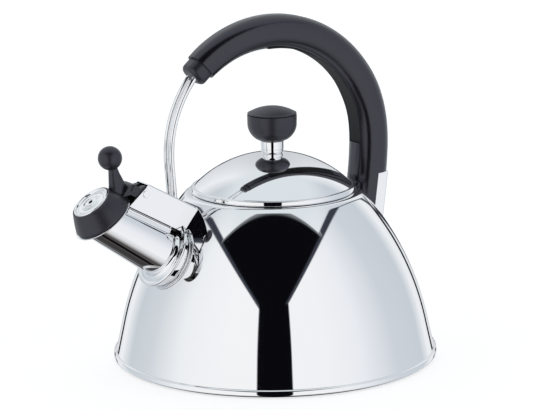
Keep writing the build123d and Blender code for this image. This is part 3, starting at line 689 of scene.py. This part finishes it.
def roof_gap(g, around, beside, height, light):
    """The gap between the roof panel and the side panels' grey frames, and the slot below it in front."""
    on_right = g.math("GREATER_THAN", around, 0.0)
    left_top = straight_edge(g, beside, LEFT_PANEL_PEAK)
    right_top = straight_edge(g, beside, RIGHT_PANEL_PEAK)
    panel_top = g.span(on_right, 0.0, 1.0, left_top, right_top)
    past_panel = g.math("SUBTRACT", height, panel_top)
    frame_top = g.math("ADD", panel_top, g.span(beside, 96.0, 112.0, *FRAME_HEIGHT))
    under_roof = g.math("LESS_THAN", beside, ROOF_END)
    roof_edge = g.math("MULTIPLY", straight_edge(g, beside, ROOF_PEAK), under_roof)
    to_roof = g.math("SUBTRACT", g.math("MAXIMUM", roof_edge, frame_top), height)
    shade = g.mix(g.fade(past_panel, 1.2, 2.4), FRAME_GREY, SLOT_BLACK)
    shade = g.mix(g.fade(to_roof, 3.0, 0.6), shade, ROOF_GREY)
    shade = g.mix(under_roof, FRAME_GREY, shade)
    above_panel = g.fade(past_panel, -EDGE_BLUR, EDGE_BLUR)
    below_roof = g.fade(to_roof, -EDGE_BLUR, EDGE_BLUR)
    light = g.mix(g.math("MULTIPLY", above_panel, below_roof), light, shade)
    into_slot = g.math("SUBTRACT", g.span(on_right, 0.0, 1.0, *SLOT_HALF), beside)
    in_slot = g.math("MULTIPLY", g.fade(into_slot, -0.5, 0.5), g.math("LESS_THAN", height, SLOT_TOP))
    return g.mix(in_slot, light, SLOT_BLACK)


def backdrop():
    """A pale bowl: flat floor that curves up into a wall all round. Only the camera sees it."""
    outline = [(0.0, 0.0), (FLOOR_R, 0.0)]
    outline += [
        (FLOOR_R + BOWL_R * math.sin(t), BOWL_R * (1 - math.cos(t)))
        for t in [math.radians(a) for a in range(6, 91, 6)]
    ]
    outline.append((FLOOR_R + BOWL_R, WALL_TOP))
    mesh = bmesh.new()
    line = [mesh.verts.new((r * MM, 0.0, z * MM)) for r, z in outline]
    edges = [mesh.edges.new(pair) for pair in zip(line, line[1:])]
    bmesh.ops.spin(mesh, geom=line + edges, axis=(0, 0, 1), cent=(0, 0, 0), steps=96, angle=math.tau)
    bmesh.ops.remove_doubles(mesh, verts=mesh.verts, dist=1e-5)
    data = bpy.data.meshes.new("backdrop")
    mesh.to_mesh(data)
    mesh.free()
    data.polygons.foreach_set("use_smooth", [True] * len(data.polygons))
    bowl = bpy.data.objects.new("backdrop", data)
    bpy.context.scene.collection.objects.link(bowl)
    bowl.visible_glossy = False
    bowl.visible_diffuse = False
    bowl.visible_shadow = False
    bowl.visible_transmission = False
    material = bpy.data.materials.new("backdrop")
    material.use_nodes = True
    g = Graph(material.node_tree)
    paper = g.add("ShaderNodeBsdfDiffuse", {"Color": (0.62, 0.62, 0.62, 1.0)})
    glow = g.add("ShaderNodeEmission", {"Color": (1.0, 1.0, 1.0, 1.0), "Strength": 0.62})
    both = g.add("ShaderNodeAddShader", {0: paper, 1: glow})
    final = g.nodes.new("ShaderNodeOutputMaterial")
    g.tree.links.new(both, final.inputs["Surface"])
    data.materials.append(material)


# ---------------------------------------------------------------- materials

def surface(name, **constants):
    """A material with a Principled shader. Returns it with its graph and shader node."""
    material = bpy.data.materials.new(name)
    material.use_nodes = True
    g = Graph(material.node_tree)
    shader = g.add("ShaderNodeBsdfPrincipled").node
    for key, value in constants.items():
        shader.inputs[key.replace("_", " ")].default_value = value
    final = g.nodes.new("ShaderNodeOutputMaterial")
    g.tree.links.new(shader.outputs[0], final.inputs["Surface"])
    return material, g, shader


def noise(g, place, scale, detail=2.0, rough=0.5):
    return g.add(
        "ShaderNodeTexNoise",
        {"Vector": place, "Scale": scale, "Detail": detail, "Roughness": rough},
    )


def polished_steel():
    material, g, shader = surface("polished_steel", Metallic=1.0)
    place = g.add("ShaderNodeTexCoord", out=3)
    cloud = noise(g, place, 22.0, 3.0)
    tint = g.mix(cloud, (0.885, 0.892, 0.905, 1.0), (0.915, 0.918, 0.925, 1.0))
    g.feed(shader.inputs["Base Color"], tint)
    rubbed = noise(g, place, 900.0, 4.0, 0.6)
    rough = g.math("ADD", g.span(cloud, 0.3, 0.7, 0.018, 0.034), g.span(rubbed, 0.35, 0.75, 0.0, 0.012))
    g.feed(shader.inputs["Roughness"], rough)
    return material


def plain_steel():
    material, g, shader = surface("plain_steel", Metallic=1.0)
    place = g.add("ShaderNodeTexCoord", out=3)
    grain = noise(g, place, 1800.0, 3.0, 0.7)
    cloud = noise(g, place, 45.0, 3.0)
    g.feed(shader.inputs["Base Color"], g.mix(cloud, (0.56, 0.56, 0.57, 1.0), (0.68, 0.68, 0.69, 1.0)))
    g.feed(shader.inputs["Roughness"], g.span(grain, 0.3, 0.7, 0.22, 0.36))
    return material


def cast_aluminium():
    material, g, shader = surface("core_aluminium", Metallic=1.0)
    place = g.add("ShaderNodeTexCoord", out=3)
    grain = noise(g, place, 700.0, 4.0, 0.6)
    g.feed(shader.inputs["Base Color"], g.mix(grain, (0.66, 0.66, 0.67, 1.0), (0.80, 0.80, 0.81, 1.0)))
    g.feed(shader.inputs["Roughness"], g.span(grain, 0.3, 0.7, 0.35, 0.5))
    return material


def spun_steel():
    """Plain steel with the fine rings that turning leaves round the kettle's axis."""
    material, g, shader = surface("spun_steel", Metallic=1.0)
    place = g.add("ShaderNodeTexCoord", out=3)
    flat = g.add("ShaderNodeVectorMath", {0: place, 1: (1.0, 1.0, 0.0)}, operation="MULTIPLY")
    from_axis = g.add("ShaderNodeVectorMath", {0: flat}, out=1, operation="LENGTH")
    along = g.add("ShaderNodeCombineXYZ", {0: from_axis})
    rings = noise(g, along, 2400.0, 3.0, 0.7)
    g.feed(shader.inputs["Base Color"], g.mix(rings, (0.50, 0.50, 0.51, 1.0), (0.70, 0.70, 0.71, 1.0)))
    g.feed(shader.inputs["Roughness"], g.span(rings, 0.3, 0.7, 0.20, 0.38))
    bump = g.add("ShaderNodeBump", {"Strength": 0.25, "Distance": 0.00005, "Height": rings})
    g.feed(shader.inputs["Normal"], bump)
    return material


def moulded(name, dark, light, low, high, level=0.5, tint=(1.0, 1.0, 1.0)):
    """A moulded plastic or rubber: its colour drifts from dark to light, its roughness from low to high."""
    material, g, shader = surface(name, Specular_IOR_Level=level, Specular_Tint=(*tint, 1.0))
    place = g.add("ShaderNodeTexCoord", out=3)
    cloud = noise(g, place, 35.0, 3.0)
    grain = noise(g, place, 2600.0, 2.0, 0.6)
    g.feed(shader.inputs["Base Color"], g.mix(cloud, (*dark, 1.0), (*light, 1.0)))
    g.feed(shader.inputs["Roughness"], g.span(grain, 0.3, 0.7, low, high))
    bump = g.add("ShaderNodeBump", {"Strength": 0.10, "Distance": 0.00005, "Height": grain})
    g.feed(shader.inputs["Normal"], bump)
    return material


INK = (0.86, 0.85, 1.0)    # the faint blue of light on the black moulding
MATERIALS = {
    "polished_steel": polished_steel(),
    "plain_steel": plain_steel(),
    "core_aluminium": cast_aluminium(),
    "black_moulding": moulded(
        "black_moulding", (0.006, 0.006, 0.009), (0.011, 0.010, 0.015), 0.33, 0.42, 0.80, INK),
    "black_nylon": moulded("black_nylon", (0.004, 0.004, 0.005), (0.008, 0.008, 0.009), 0.42, 0.52, 0.40),
    "silicone": moulded("silicone", (0.42, 0.42, 0.40), (0.52, 0.52, 0.50), 0.55, 0.65),
}
# Nodes whose finish differs from the rest of their slot; the knob cap's lighter black is painted light.
SPECIAL = {
    "handle_grip": moulded(
        "grip_black", (0.004, 0.004, 0.006), (0.007, 0.006, 0.010), 0.19, 0.26, 0.84, INK),
    # the knob cap is the same black plastic, lightened here as painted light on its lit top
    "knob_cap": moulded(
        "knob_black_painted_light", (0.024, 0.024, 0.030), (0.032, 0.031, 0.039), 0.42, 0.50, 1.0, INK),
    "base_plate": spun_steel(),
    "grip_inlay": moulded("matt_black", (0.003, 0.003, 0.004), (0.006, 0.006, 0.007), 0.50, 0.60, 0.25),
}


def finish_of(node):
    """The material of a CAD node or of its stand-in."""
    return SPECIAL.get(node) or MATERIALS[SLOT_OF[node]]


def dress_nodes():
    for name, node in NODES.items():
        node.data.materials.clear()
        node.data.materials.append(finish_of(name))


body()
base_seam()
lid()
ferrule()
knob()
tube()
collar()
flange()
whistle_cap()
whistle_face()
pin_heads()
saddle()
shadow_gap_strips()
lever_stem()
wire(-1)
wire(1)
dress_nodes()
backdrop()
studio_world()
aim_camera()
bpy.context.scene.view_settings.view_transform = "Standard"
